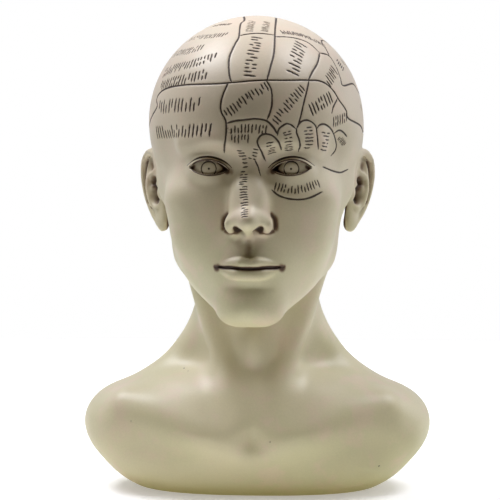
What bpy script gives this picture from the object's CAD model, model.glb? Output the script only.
"""A phrenology head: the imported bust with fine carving, an engraved map of regions and a resin finish.

Metres, +Z up, the face towards -Y. The origin is the middle of the flat underside. The form itself is
described in head heights, as in the part's source: chin at z 0, crown at z 1.
"""

import logging
import math
from dataclasses import dataclass, field
from enum import Enum
from functools import cached_property
from typing import ClassVar, Protocol

import bmesh
import bpy
import numpy as np
from mathutils import Euler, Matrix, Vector
from mathutils.bvhtree import BVHTree
from mathutils.kdtree import KDTree

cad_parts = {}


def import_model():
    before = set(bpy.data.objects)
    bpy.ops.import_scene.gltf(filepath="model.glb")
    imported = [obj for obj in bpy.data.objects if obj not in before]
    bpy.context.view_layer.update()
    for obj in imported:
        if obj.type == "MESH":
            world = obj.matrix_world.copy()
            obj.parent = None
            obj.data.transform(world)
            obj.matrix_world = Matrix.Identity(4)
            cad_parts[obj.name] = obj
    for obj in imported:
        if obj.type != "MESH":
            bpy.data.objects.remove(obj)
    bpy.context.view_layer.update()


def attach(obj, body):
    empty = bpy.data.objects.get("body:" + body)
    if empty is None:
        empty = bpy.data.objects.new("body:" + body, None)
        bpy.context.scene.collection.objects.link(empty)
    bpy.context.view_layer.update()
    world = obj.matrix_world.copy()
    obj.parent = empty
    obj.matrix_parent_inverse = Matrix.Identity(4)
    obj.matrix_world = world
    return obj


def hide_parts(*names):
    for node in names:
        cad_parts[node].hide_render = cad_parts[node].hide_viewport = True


log = logging.getLogger("phrenology_head")

Array = np.ndarray
Points = Array  # one row of x, y, z for each point
Values = Array  # one number for each point
Triple = tuple[float, float, float]
Ball = tuple[Triple, float]  # a middle and a radius
Pair = tuple[float, float]
Colour = tuple[float, float, float, float]
Socket = bpy.types.NodeSocket
Inputs = dict[str | int, object]  # by name or number

MM = 0.001
FAR = 0.05  # how far off the skin, in head heights, the form is ever asked for
EVERYWHERE: Ball = ((0.0, 0.0, 0.0), math.inf)
BOTH_SIDES = (-1.0, 1.0)
SPACING = 0.25 * MM  # from point to point along a groove
STAIN_SPACING = 0.4 * MM
FARTHEST = 4.0 * MM  # past this, the distance from a groove no longer matters
FOLD_STEPS = 16  # short runs between two given places of a fold or a stain
MAP_STEPS = 24  # short runs between two given spots of the map
WHITE: Colour = (1.0, 1.0, 1.0, 1.0)


def soft_min(a: Values, b: Values, width: float) -> Values:
    """The smaller of two distances, with the corner rounded over a width."""
    near = np.maximum(width - np.abs(a - b), 0.0) / width
    return np.minimum(a, b) - near * near * width * 0.25


def soft_max(a: Values, b: Values, width: float) -> Values:
    """The larger of two distances, with the corner rounded over a width."""
    return -soft_min(-a, -b, width)


def smooth_step(low: float, high: float, value: Values) -> Values:
    """Rises smoothly from 0 at the low value to 1 at the high one."""
    t = np.clip((value - low) / (high - low), 0.0, 1.0)
    return t * t * (3.0 - 2.0 * t)


def lengths(vectors: Points) -> Values:
    """The length of each vector."""
    return np.sqrt(np.einsum("ij,ij->i", vectors, vectors))


def unit(vectors: Points) -> Points:
    """Each vector at length 1."""
    return vectors / np.maximum(lengths(vectors), 1e-12)[:, None]


def columns(*values: Array) -> Array:
    """One row for each point, from one list of values for each column."""
    return np.stack(values, axis=1)


def turned(x: Values, y: Values, angle: float) -> tuple[Values, Values]:
    """Places in a plane, read along axes that are turned by an angle."""
    cos, sin = math.cos(angle), math.sin(angle)
    return x * cos + y * sin, y * cos - x * sin


class Side(Enum):
    """Whether a step is made once, as it is given, or on both sides alike."""

    MIDDLE = "middle"
    BOTH = "both"

    def read(self, p: Points, mirrored: Points) -> Points:
        """The points that the step reads: as they are, or all brought to the figure's left."""
        return p if self is Side.MIDDLE else mirrored


class Shape:
    """A form with a distance, negative inside."""

    def distance(self, p: Points) -> Values:
        """How far each point is outside the form."""
        raise NotImplementedError

    def ball(self) -> Ball:
        """A ball that holds the form, without a limit where it has none of its own."""
        return EVERYWHERE


class Step(Protocol):
    """A change to the distances so far."""

    def change(self, d: Values, p: Points, mirrored: Points) -> None:
        """Changes the distances in place."""


@dataclass(frozen=True)
class Egg(Shape):
    """An ellipsoid, turned by degrees about x, y and z."""

    centre: Triple
    radii: Triple
    degrees: Triple = (0.0, 0.0, 0.0)

    @cached_property
    def turn(self) -> Array:
        """The matrix of its turn."""
        return np.array(Euler([math.radians(angle) for angle in self.degrees]).to_matrix())

    def distance(self, p: Points) -> Values:
        """How far each point is outside the egg."""
        local = ((p - np.array(self.centre)) @ self.turn) / np.array(self.radii)
        scaled = lengths(local) + 1e-9
        slope = lengths(local / np.array(self.radii)) + 1e-9
        return scaled * (scaled - 1.0) / slope

    def ball(self) -> Ball:
        """A ball that holds the egg."""
        return self.centre, max(self.radii)


@dataclass(frozen=True)
class Strand(Shape):
    """A strand along a smooth curve through points, with a radius at each point."""

    points: tuple[Triple, ...]
    radii: tuple[float, ...]
    steps: int = 4

    @cached_property
    def stations(self) -> tuple[Points, Values]:
        """The places along the curve, and the radius at each."""
        through = np.array(self.points)
        places = smooth_path(through, self.steps)
        along = np.linspace(0.0, len(through) - 1.0, len(places))
        return places, np.interp(along, np.arange(len(through)), self.radii)

    def distance(self, p: Points) -> Values:
        """How far each point is outside the strand."""
        places, radii = self.stations
        least = np.full(len(p), np.inf)
        for i in range(len(places) - 1):
            run = places[i + 1] - places[i]
            local = p - places[i]
            along = np.clip(local @ run / (run @ run), 0.0, 1.0)
            radius = radii[i] + (radii[i + 1] - radii[i]) * along
            least = np.minimum(least, lengths(local - along[:, None] * run) - radius)
        return least

    def ball(self) -> Ball:
        """A ball that holds the strand."""
        places, radii = self.stations
        middle = (places.min(axis=0) + places.max(axis=0)) / 2.0
        return tuple(middle), float((lengths(places - middle) + radii).max())


def limb(start: Triple, end: Triple, start_radius: float, end_radius: float) -> Strand:
    """A straight round limb from one point to another."""
    return Strand((start, end), (start_radius, end_radius), 1)


def smooth_path(through: Points, steps: int) -> Points:
    """A smooth curve through points.

    Args:
        through: The points that the curve passes through.
        steps: How many short runs there are from one point to the next.

    Returns:
        The places along the curve.
    """
    ends = np.vstack([2 * through[0] - through[1], through, 2 * through[-1] - through[-2]])
    places = []
    for a, b, c, d in zip(ends, ends[1:], ends[2:], ends[3:]):
        for t in np.arange(steps) / steps:
            bend = (2 * a - 5 * b + 4 * c - d) * t * t + (3 * b - a - 3 * c + d) * t**3
            places.append(0.5 * (2 * b + (c - a) * t + bend))
    return np.array([*places, through[-1]])


@dataclass(frozen=True)
class Join:
    """Adds a shape, with the corner rounded over a width."""

    shape: Shape
    width: float
    side: Side = Side.BOTH
    sign: ClassVar[float] = 1.0

    def change(self, d: Values, p: Points, mirrored: Points) -> None:
        """Changes the distances in place."""
        at = self.side.read(p, mirrored)
        centre, radius = self.shape.ball()
        reach = radius + self.width + FAR
        near = np.flatnonzero(((at - np.array(centre)) ** 2).sum(axis=1) < reach * reach)
        d[near] = self.sign * soft_min(self.sign * d[near], self.shape.distance(at[near]), self.width)


class Hollow(Join):
    """Takes a shape away, with the corner rounded over a width."""

    sign: ClassVar[float] = -1.0


@dataclass(frozen=True)
class Dent:
    """A shallow dent, deepest at its centre."""

    centre: Triple
    spread: Triple
    depth: float
    side: Side = Side.BOTH

    def change(self, d: Values, p: Points, mirrored: Points) -> None:
        """Changes the distances in place."""
        at = self.side.read(p, mirrored)
        away = (((at - np.array(self.centre)) / np.array(self.spread)) ** 2).sum(axis=1)
        d += self.depth * np.exp(-away)


@dataclass(frozen=True)
class Built(Shape):
    """One shape from a first shape and the steps that follow it."""

    first: Shape
    steps: tuple[Step, ...]
    holder: Ball = EVERYWHERE
    mirror_rounding: float = 0.012  # keeps a crease off the mid-plane

    def distance(self, p: Points) -> Values:
        """How far each point is outside the whole shape."""
        mirrored = p.copy()
        rounding = self.mirror_rounding
        mirrored[:, 0] = np.sqrt(p[:, 0] ** 2 + rounding**2) - 0.35 * rounding
        d = self.first.distance(p)
        for step in self.steps:
            step.change(d, p, mirrored)
        return d

    def ball(self) -> Ball:
        """A ball that holds the shape."""
        return self.holder


@dataclass(frozen=True)
class Eye:
    """An eye: lids over a ball, a fold above the upper lid, an almond opening, and the ball in it."""

    centre: Triple = (0.13, -0.325, 0.5)
    ball_radius: float = 0.056
    lid_radius: float = 0.067
    lid_rounding: float = 0.022  # where the lids go over into the socket
    half_width: float = 0.0635
    upper_rise: float = 0.027
    lower_drop: float = 0.019
    slant: float = math.radians(3.0)
    opening_back: float = 0.028  # how far in front of the ball's middle the opening ends
    lid_edge: float = 0.0028
    fold_above: float = 0.0105
    fold_width: float = 0.004
    fold_depth: float = 0.0055
    fold_reach: float = 0.06

    def opening(self, x: Values, z: Values) -> tuple[Values, Values]:
        """How far outside the upper and the lower lid's edge a place is, seen from the front."""
        along, rise = turned(x, z, self.slant)
        upper_radius, lower_radius = self.arc_radius(self.upper_rise), self.arc_radius(self.lower_drop)
        upper = np.hypot(along, rise - (self.upper_rise - upper_radius)) - upper_radius
        lower = np.hypot(along, rise - (lower_radius - self.lower_drop)) - lower_radius
        return upper, lower

    def arc_radius(self, rise: float) -> float:
        """The radius of a lid's edge that bows by a rise."""
        return (self.half_width**2 + rise**2) / (2 * abs(rise))

    def lid_line(self, rise: float, above: float, start: float = -1.0, end: float = 1.0) -> Points:
        """Places in front of the eye along a lid's edge, or along a line that runs above it.

        Args:
            rise: How far the lid's edge bows up, or down where it is negative.
            above: How far the line runs outside the edge.
            start: Where it starts, from -1 at the nose to 1 at the temple.
            end: Where it ends.

        Returns:
            The places, in head heights, from the nose to the temple.
        """
        radius = self.arc_radius(rise)
        spread = math.asin(self.half_width / radius)
        angle = np.linspace(start, end, 40) * spread
        level = math.copysign(1.0, rise) * ((radius + above) * np.cos(angle) - radius + abs(rise))
        x, z = turned((radius + above) * np.sin(angle), level, -self.slant)
        y = -np.sqrt(np.maximum(self.lid_radius**2 - x**2 - z**2, 0.02**2))
        return np.array(self.centre) + columns(x, y, z)

    def change(self, d: Values, p: Points, mirrored: Points) -> None:
        """Changes the distances in place."""
        away = mirrored - np.array(self.centre)
        near = np.flatnonzero((away**2).sum(axis=1) < (self.lid_radius + self.lid_rounding + FAR) ** 2)
        local = away[near]
        from_middle = lengths(local)
        x, y, z = local.T
        upper, lower = self.opening(x, z)
        made = soft_min(d[near], from_middle - self.lid_radius, self.lid_rounding)
        on_top = 1.0 / (1.0 + np.exp(-np.clip(z / self.fold_width, -40.0, 40.0)))
        across = np.exp(-((x / self.fold_reach) ** 4))
        crease = np.exp(-(((upper - self.fold_above) / self.fold_width) ** 2))
        made += np.where(y < 0.0, self.fold_depth * across * on_top * crease, 0.0)
        opening = np.maximum(np.maximum(upper, lower), y + self.opening_back)
        made = soft_max(made, -opening, self.lid_edge)
        d[near] = soft_min(made, from_middle - self.ball_radius, self.lid_edge)


@dataclass(frozen=True)
class Placed(Shape):
    """An ear in its place: u runs back, v up and w outwards in the ear's own plane."""

    shape: Shape
    centre: Triple
    flare: float  # how far the back edge stands out from the head
    lean: float  # how far the top leans back
    reach: float = 0.16

    def distance(self, p: Points) -> Values:
        """How far each point is outside the placed shape."""
        x, y, z = (p - np.array(self.centre)).T
        back, out = turned(y, x, self.flare)
        u, v = turned(back, z, -self.lean)
        return self.shape.distance(columns(u, v, out))

    def placed(self, p: Points) -> Points:
        """Places in the ear's own plane as places in the head."""
        u, v, out = p.T
        back, z = turned(u, v, self.lean)
        y, x = turned(back, out, -self.flare)
        return np.array(self.centre) + columns(x, y, z)

    def ball(self) -> Ball:
        """A ball that holds the placed shape."""
        return self.centre, self.reach


@dataclass(frozen=True)
class Column(Shape):
    """The neck's core: a round column that leans forward."""

    radius: float
    top: float
    foot: float

    def distance(self, p: Points) -> Values:
        """How far each point is outside the column."""
        around = np.hypot(p[:, 0], p[:, 1] - 0.1 + 0.1 * p[:, 2]) - self.radius
        return np.maximum(np.maximum(around, p[:, 2] - self.top), self.foot - p[:, 2])


@dataclass(frozen=True)
class Boat(Shape):
    """The body's core: a boat shape with a squarish outline."""

    half_width: float
    half_depth: float
    middle_y: float
    middle_z: float
    rise: float
    drop: float
    squareness: float = 2.4

    def distance(self, p: Points) -> Values:
        """How far each point is outside the boat shape."""
        reach = np.where(p[:, 2] > self.middle_z, self.rise, self.drop)
        x = np.abs(p[:, 0] / self.half_width) ** self.squareness
        y = np.abs((p[:, 1] - self.middle_y) / self.half_depth) ** self.squareness
        z = np.abs((p[:, 2] - self.middle_z) / reach) ** self.squareness
        return ((x + y + z + 1e-9) ** (1.0 / self.squareness) - 1.0) * self.drop


@dataclass(frozen=True)
class BustForm:
    """The whole bust's form: the part's own, but for softer collar bones and a deeper notch between them.

    The places and sizes in its methods are in head heights.
    """

    head_height: float = 188.0  # in millimetres, as are the next seven
    head_width: float = 135.0
    head_length: float = 160.0
    chin_height: float = 112.0
    neck_width: float = 77.0
    shoulder_width: float = 217.0
    shoulder_depth: float = 114.0
    shoulder_level: float = 43.0
    forehead_y: float = -0.395  # in head heights, as are the next two
    body_middle_y: float = 0.08
    base_rounding: float = 0.012  # of the edge around the underside
    probe: float = 0.12  # half the width over which a slope is read, in millimetres, as are the next two
    longest_move: float = 3.0  # the most that a point is moved at once to land on the skin
    longest_push: float = 2.0  # the same from the front
    mouth: Triple = (0.0, -0.46, 0.19)  # in head heights
    eye: Eye = Eye()

    def share(self, millimetres: float) -> float:
        """A length as a share of the head's height."""
        return millimetres / self.head_height

    @property
    def base(self) -> float:
        """The underside, in head heights."""
        return -self.share(self.chin_height)

    @property
    def shoulder_z(self) -> float:
        """The level of the widest point of the shoulders."""
        return self.base + self.share(self.shoulder_level)

    @property
    def shoulder_half(self) -> float:
        """Half the width across the shoulders."""
        return self.share(self.shoulder_width) / 2.0

    @property
    def chest_y(self) -> float:
        """The front of the chest."""
        return self.body_middle_y - self.share(self.shoulder_depth) / 2.0

    @property
    def skull_middle(self) -> Triple:
        """The middle of the skull."""
        return (0.0, self.forehead_y + self.share(self.head_length) / 2.0, 0.645)

    def head_steps(self) -> tuple[Step, ...]:
        """The skull's fullness, the face's mass, the jaw, the cheekbones and the brow."""
        brow = ((0.03, -0.395, 0.575), (0.11, -0.385, 0.592), (0.2, -0.315, 0.58))
        return (
            Join(Egg((0, -0.115, 0.665), (0.282, 0.305, 0.265)), 0.1, Side.MIDDLE),
            Join(Egg((0, 0.16, 0.56), (0.315, 0.3, 0.275)), 0.1, Side.MIDDLE),
            Join(Egg((0, -0.165, 0.36), (0.275, 0.24, 0.3)), 0.08, Side.MIDDLE),
            Join(Egg((0.125, -0.255, 0.3), (0.11, 0.1, 0.13)), 0.08),
            Join(limb((0.178, -0.075, 0.205), (0.052, -0.342, 0.062), 0.05, 0.056), 0.11),
            Join(limb((0.184, -0.06, 0.22), (0.23, -0.02, 0.42), 0.046, 0.06), 0.1),
            Join(Egg((0, -0.375, 0.066), (0.08, 0.07, 0.064)), 0.06, Side.MIDDLE),
            Join(Egg((0.165, -0.262, 0.405), (0.095, 0.085, 0.055)), 0.08),
            Join(limb((0.195, -0.215, 0.405), (0.262, -0.02, 0.43), 0.03, 0.022), 0.08),
            Join(Egg((0, -0.325, 0.205), (0.14, 0.125, 0.115)), 0.07, Side.MIDDLE),
            Dent((0.275, -0.27, 0.56), (0.05, 0.09, 0.08), 0.014),
            Join(Strand(brow, (0.028, 0.026, 0.022)), 0.05),
            Hollow(Egg((0.128, -0.435, 0.513), (0.08, 0.062, 0.046), (0, 0, -16)), 0.05),
            Hollow(Egg((0.07, -0.425, 0.5), (0.028, 0.04, 0.045)), 0.035),
        )

    def nose_steps(self) -> tuple[Step, ...]:
        """The bridge, tip, flanks, wings, the strip between the nostrils, and the nostrils."""
        bridge = ((0, -0.372, 0.575), (0, -0.388, 0.51), (0, -0.428, 0.435), (0, -0.48, 0.36))
        parts = (
            Join(Egg((0, -0.495, 0.342), (0.035, 0.042, 0.033)), 0.02, Side.MIDDLE),
            Join(Egg((0.026, -0.425, 0.385), (0.034, 0.05, 0.085), (-10, 0, 0)), 0.03),
            Join(Egg((0.05, -0.445, 0.326), (0.02, 0.04, 0.028), (-12, 0, 18)), 0.024),
            Join(Egg((0.03, -0.468, 0.344), (0.022, 0.034, 0.022)), 0.022),
            Join(limb((0, -0.49, 0.318), (0, -0.44, 0.298), 0.014, 0.014), 0.012, Side.MIDDLE),
        )
        nose = Built(Strand(bridge, (0.032, 0.026, 0.029, 0.032), 3), parts, ((0, -0.43, 0.43), 0.2))
        return (
            Join(nose, 0.035, Side.MIDDLE),
            Hollow(Egg((0.031, -0.466, 0.308), (0.0135, 0.027, 0.022), (-12, 0, 18)), 0.006),
            Dent((0.078, -0.42, 0.335), (0.008, 0.03, 0.03), 0.007),
        )

    def mouth_steps(self) -> tuple[Step, ...]:
        """The lips, the line between them, the groove under the nose and the hollow under the lip."""
        upper = ((0, -0.452, 0.2035), (0.024, -0.4535, 0.2085), (0.06, -0.432, 0.2035),
                 (0.098, -0.395, 0.1955))
        lower = ((0, -0.449, 0.1715), (0.035, -0.444, 0.172), (0.068, -0.423, 0.179),
                 (0.097, -0.394, 0.1915))
        line = ((0, -0.475, 0.187), (0.02, -0.4745, 0.1905), (0.05, -0.457, 0.1918), (0.08, -0.43, 0.1905),
                (0.103, -0.402, 0.1925))
        return (
            Join(Strand(upper, (0.0145, 0.0165, 0.0125, 0.005)), 0.008),
            Join(Strand(lower, (0.0215, 0.02, 0.013, 0.004)), 0.01),
            Hollow(Strand(line, (0.005, 0.005, 0.005, 0.0035, 0.001)), 0.006),
            Dent((0, -0.45, 0.245), (0.011, 0.2, 0.028), 0.006, Side.MIDDLE),
            Dent((0, -0.44, 0.128), (0.06, 0.05, 0.018), 0.006),
        )

    @cached_property
    def ear(self) -> Placed:
        """An ear: a plate with a rim, a bowl, an inner ridge that forks, a flap before it and a lobe."""
        rim = ((-0.014, 0.004, -0.008), (-0.036, 0.018, 0.004), (-0.05, 0.058, 0.008), (-0.04, 0.108, 0.009),
               (-0.002, 0.134, 0.009), (0.04, 0.113, 0.009), (0.06, 0.062, 0.008), (0.059, 0.002, 0.006),
               (0.045, -0.048, 0.004), (0.024, -0.086, 0.003), (0.004, -0.112, 0.002))
        rim_radii = (0.006, 0.009, 0.0105, 0.0115, 0.012, 0.0125, 0.012, 0.0105, 0.009, 0.008, 0.007)
        inner = ((0.002, -0.058, 0.004), (0.026, -0.034, 0.008), (0.034, 0.014, 0.009), (0.022, 0.05, 0.008),
                 (-0.012, 0.066, 0.003))
        fork = ((0.03, 0.03, 0.008), (0.026, 0.07, 0.006), (0.012, 0.102, 0.003))
        channel = ((0.046, -0.03, 0.014), (0.049, 0.02, 0.014), (0.044, 0.07, 0.014), (0.028, 0.104, 0.013))
        plate = Built(Egg((0.004, 0.045, -0.006), (0.058, 0.09, 0.016)), (
            Join(Egg((-0.006, -0.055, -0.006), (0.042, 0.08, 0.015)), 0.02, Side.MIDDLE),
            Join(Egg((-0.014, -0.105, -0.002), (0.028, 0.034, 0.013)), 0.01, Side.MIDDLE),
            Join(Egg((-0.012, 0, -0.022), (0.045, 0.055, 0.025)), 0.02, Side.MIDDLE),
            Join(Strand(rim, rim_radii, 3), 0.007, Side.MIDDLE),
            Join(Strand(inner, (0.008, 0.0105, 0.0115, 0.0105, 0.007), 3), 0.007, Side.MIDDLE),
            Join(Strand(fork, (0.01, 0.0085, 0.006), 3), 0.006, Side.MIDDLE),
            Hollow(Strand(channel, (0.004, 0.0065, 0.007, 0.005), 3), 0.005, Side.MIDDLE),
            Hollow(Egg((0.0, 0.086, 0.017), (0.017, 0.02, 0.014)), 0.006, Side.MIDDLE),
            Hollow(Egg((-0.008, -0.014, 0.014), (0.026, 0.034, 0.036)), 0.007, Side.MIDDLE),
            Hollow(Egg((-0.004, 0.034, 0.014), (0.02, 0.017, 0.026)), 0.007, Side.MIDDLE),
            Join(Egg((-0.043, -0.014, 0.006), (0.013, 0.021, 0.012)), 0.008, Side.MIDDLE),
            Join(Egg((-0.006, -0.06, 0.004), (0.015, 0.011, 0.01)), 0.008, Side.MIDDLE),
        ))
        centre = (self.share(self.head_width) / 2.0 - 0.022, 0.055, 0.412)
        return Placed(plate, centre, math.radians(34.0), math.radians(12.0))

    def ear_steps(self) -> tuple[Step, ...]:
        """The ear, blended into the head."""
        return (Join(self.ear, 0.012),)

    def neck_steps(self) -> tuple[Step, ...]:
        """The column, the long muscles from behind the ears to the chest, and the throat."""
        radius = self.share(self.neck_width) / 2.0
        pit = (0.03, self.chest_y + 0.045, self.shoulder_z - 0.02)
        return (
            Join(Column(radius, 0.38, self.shoulder_z), 0.06, Side.MIDDLE),
            Join(Egg((radius + 0.02, 0.06, 0.275), (0.045, 0.06, 0.075)), 0.06),
            Join(limb((radius + 0.007, 0.06, 0.2), pit, 0.04, 0.022), 0.05),
            Join(Egg((0, -0.095, -0.1), (0.035, 0.035, 0.06)), 0.05, Side.MIDDLE),
        )

    def body_steps(self) -> tuple[Step, ...]:
        """The boat-shaped body, the slopes from the neck, the round shoulders and the collar bones."""
        drop = 1.146 * self.share(self.shoulder_level)
        half, chest, level = self.shoulder_half, self.chest_y, self.shoulder_z
        half_depth = self.share(self.shoulder_depth) / 2.0
        core = Boat(0.955 * half, half_depth, self.body_middle_y, level - 0.022, 0.84 * drop, drop)
        collar_bone = ((0.08 * half, chest + 0.025, level - 0.04), (0.28 * half, chest + 0.01, level - 0.01),
                       (0.52 * half, chest + 0.075, level + 0.03), (0.73 * half, chest + 0.13, level + 0.06))
        whole = Built(core, (
            Join(limb((0.045, 0.15, 0.03), (0.56 * half, 0.115, level + 0.1), 0.098, 0.065), 0.075),
            Join(Egg((0.74 * half, self.body_middle_y, level - 0.003), (0.262 * half, 0.21, 0.118)), 0.05),
            Join(Strand(collar_bone, (0.018, 0.021, 0.024, 0.03), 3), 0.1),
        ))
        return (
            Join(whole, 0.08, Side.MIDDLE),
            Dent((0, chest - 0.052, level - 0.03), (0.04, 0.08, 0.042), 0.03, Side.MIDDLE),
        )

    @cached_property
    def figure(self) -> Built:
        """The whole figure, before it is cut off flat."""
        half_width, half_length = self.share(self.head_width) / 2.0, self.share(self.head_length) / 2.0
        skull = Egg(self.skull_middle, (half_width, half_length, 1.0 - self.skull_middle[2]))
        head = (*self.head_steps(), *self.nose_steps(), self.eye, *self.mouth_steps(), *self.ear_steps())
        return Built(skull, (*head, *self.neck_steps(), *self.body_steps()))

    def to_frame(self, p: Points) -> Points:
        """Places in head heights as places in metres, in the part's frame."""
        return (p - np.array([0.0, self.body_middle_y, self.base])) * self.head_height * MM

    def distance(self, p: Points) -> Values:
        """How far each point is outside the bust. Both are in metres, in the part's frame."""
        size = self.head_height * MM
        at = p / size + np.array([0.0, self.body_middle_y, self.base])
        cut = soft_max(self.figure.distance(at), self.base - at[:, 2], self.base_rounding)
        return cut * size

    def slope(self, p: Points) -> tuple[Values, Points]:
        """The mean distance and the slope of the distance around each point."""
        reach = self.probe * MM
        mean = np.zeros(len(p))
        slope = np.zeros((len(p), 3))
        for corner in ((1, -1, -1), (-1, -1, 1), (-1, 1, -1), (1, 1, 1)):
            value = self.distance(p + np.array(corner) * reach)
            mean += value / 4.0
            slope += value[:, None] * np.array(corner) / (4.0 * reach)
        return mean, slope

    def land(self, p: Points, steps: int = 2) -> Points:
        """Moves points on to the bust's skin.

        Args:
            p: Points near the skin.
            steps: How many times each is moved.

        Returns:
            The points on the skin.
        """
        longest = self.longest_move * MM
        for _ in range(steps):
            mean, slope = self.slope(p)
            move = -mean / np.maximum((slope**2).sum(axis=1), 0.05)
            p = p + np.clip(move, -longest, longest)[:, None] * slope
        return p

    def land_from_front(self, p: Points, steps: int = 5) -> Points:
        """Moves points on to the skin of the face, straight back or forward."""
        p = p.copy()
        longest = self.longest_push * MM
        for _ in range(steps):
            mean, slope = self.slope(p)
            p[:, 1] += np.clip(mean / np.maximum(-slope[:, 1], 0.5), -longest, longest)
        return p

    def normals(self, p: Points) -> Points:
        """The way outwards at each point of the skin."""
        return unit(self.slope(p)[1])


@dataclass(frozen=True)
class PhotoCamera:
    """The camera at the photograph's angle, and where a pixel of the photograph looks."""

    azimuth: float = 3.0  # degrees from straight ahead, towards the figure's left
    elevation: float = 4.0
    distance: float = 1.25
    target: Triple = (0.0, 0.0, 0.15)
    image: int = 500
    sensor: float = 36.0
    metres_a_pixel: float = 0.64 * MM  # at the target
    middle_column: float = 257.0  # where the target falls
    middle_row: float = 252.5

    @property
    def lens(self) -> float:
        """The focal length, in millimetres."""
        return self.sensor * self.distance / (self.image * self.metres_a_pixel)

    def axes(self) -> tuple[Array, Array, Array]:
        """The camera's right, up and forward directions."""
        a, e = math.radians(self.azimuth), math.radians(self.elevation)
        forward = np.array([-math.sin(a) * math.cos(e), math.cos(a) * math.cos(e), -math.sin(e)])
        right = np.array([math.cos(a), math.sin(a), 0.0])
        return right, np.cross(right, forward), forward

    @property
    def place(self) -> Array:
        """Where the camera stands, such that the target falls on its pixel."""
        right, up, forward = self.axes()
        aside = (self.image / 2.0 - self.middle_column) * right + (self.middle_row - self.image / 2.0) * up
        return np.array(self.target) - forward * self.distance + aside * self.metres_a_pixel

    def ray(self, pixel: Pair) -> Array:
        """The direction in which the camera sees a pixel."""
        right, up, forward = self.axes()
        x, y = pixel
        across = (x - self.image / 2.0) * self.metres_a_pixel / self.distance
        upward = (self.image / 2.0 - y) * self.metres_a_pixel / self.distance
        way = forward + across * right + upward * up
        return way / np.linalg.norm(way)

    def build(self) -> None:
        """Adds the camera and makes it the scene's own."""
        bpy.ops.object.camera_add(location=Vector(self.place))
        camera = bpy.context.active_object
        camera.name = "photo_camera"
        camera.rotation_euler = Vector(self.axes()[2]).to_track_quat("-Z", "Y").to_euler()
        camera.data.sensor_width = self.sensor
        camera.data.lens = self.lens
        bpy.context.scene.camera = camera
        log.info("camera: %.1f mm lens at %.2f m", self.lens, self.distance)


@dataclass(frozen=True)
class Seen:
    """A spot on the skin, as the pixel of the photograph where it shows."""

    column: float
    row: float


@dataclass(frozen=True)
class Around:
    """A spot on the skull, in degrees from the front towards the figure's left, and degrees up."""

    turn: float
    up: float


Spot = Seen | Around
Run = tuple[Spot, ...]
Places = tuple[Pair, ...]  # pixels of seen spots, or degrees of those around the skull
Row = tuple[float, Places]  # a row's height in millimetres, and the places along its middle
Rows = tuple[Row, ...]


@dataclass(frozen=True)
class Groove:
    """Close points along an engraved line, with half the width and the depth at each."""

    points: Points
    half_widths: Values
    depths: Values
    wash: float = 1.0


def even_groove(points: Points, half_width: float, depth: float) -> Groove:
    """A groove of one width and depth throughout, both in millimetres."""
    return Groove(points, np.full(len(points), half_width * MM), np.full(len(points), depth * MM))


@dataclass
class SkinFinder:
    """Finds the spots of the map on the bust's skin."""

    form: BustForm
    camera: PhotoCamera
    tree: BVHTree
    head_pixel: Pair = (257.0, 140.0)  # towards which a spot just off the figure is brought
    start: float = 0.4  # from the skull's middle, in metres, where a look back at the skull starts

    def find(self, spot: Spot) -> Array:
        """The place of one spot on the skin.

        Args:
            spot: A pixel of the photograph or a direction from the skull's middle.

        Returns:
            The place on the CAD skin, in metres.
        """
        middle = self.form.to_frame(np.array([self.form.skull_middle]))[0]
        if isinstance(spot, Around):
            turn, up = math.radians(spot.turn), math.radians(spot.up)
            way = np.array([math.sin(turn) * math.cos(up), -math.cos(turn) * math.cos(up), math.sin(up)])
            return np.array(self.tree.ray_cast(Vector(middle + self.start * way), Vector(-way))[0])
        inwards = np.array(self.head_pixel)
        pixel = np.array([spot.column, spot.row])
        for share in np.linspace(0.0, 0.5, 101):
            way = self.camera.ray(tuple(pixel + (inwards - pixel) * share))
            hit = self.tree.ray_cast(Vector(self.camera.place), Vector(way))[0]
            if hit is not None:
                return np.array(hit)
        raise ValueError(f"no skin behind {spot}")

    def paths(self, runs: list[Run]) -> list[Points]:
        """A smooth line of close points on the skin through each run of spots."""
        rough = [smooth_path(np.array([self.find(spot) for spot in spots]), MAP_STEPS) for spots in runs]
        return self.landed([evenly(line, SPACING) for line in rough])

    def landed(self, lines: list[Points]) -> list[Points]:
        """Lines of points moved on to the skin, all at once."""
        moved = self.form.land(np.concatenate(lines), 3)
        return np.split(moved, np.cumsum([len(line) for line in lines])[:-1])


def evenly(path: Points, spacing: float) -> Points:
    """The same path with its points at even distances."""
    along = np.concatenate([[0.0], np.cumsum(lengths(np.diff(path, axis=0)))])
    wanted = np.linspace(0.0, along[-1], max(int(along[-1] / spacing), 2))
    return columns(*(np.interp(wanted, along, path[:, axis]) for axis in range(3)))


def seen(*pixels: Pair) -> Run:
    """Spots from pixels of the photograph."""
    return tuple(Seen(column, row) for column, row in pixels)


def around(*places: Pair) -> Run:
    """Spots from directions from the skull's middle."""
    return tuple(Around(turn, up) for turn, up in places)


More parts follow.
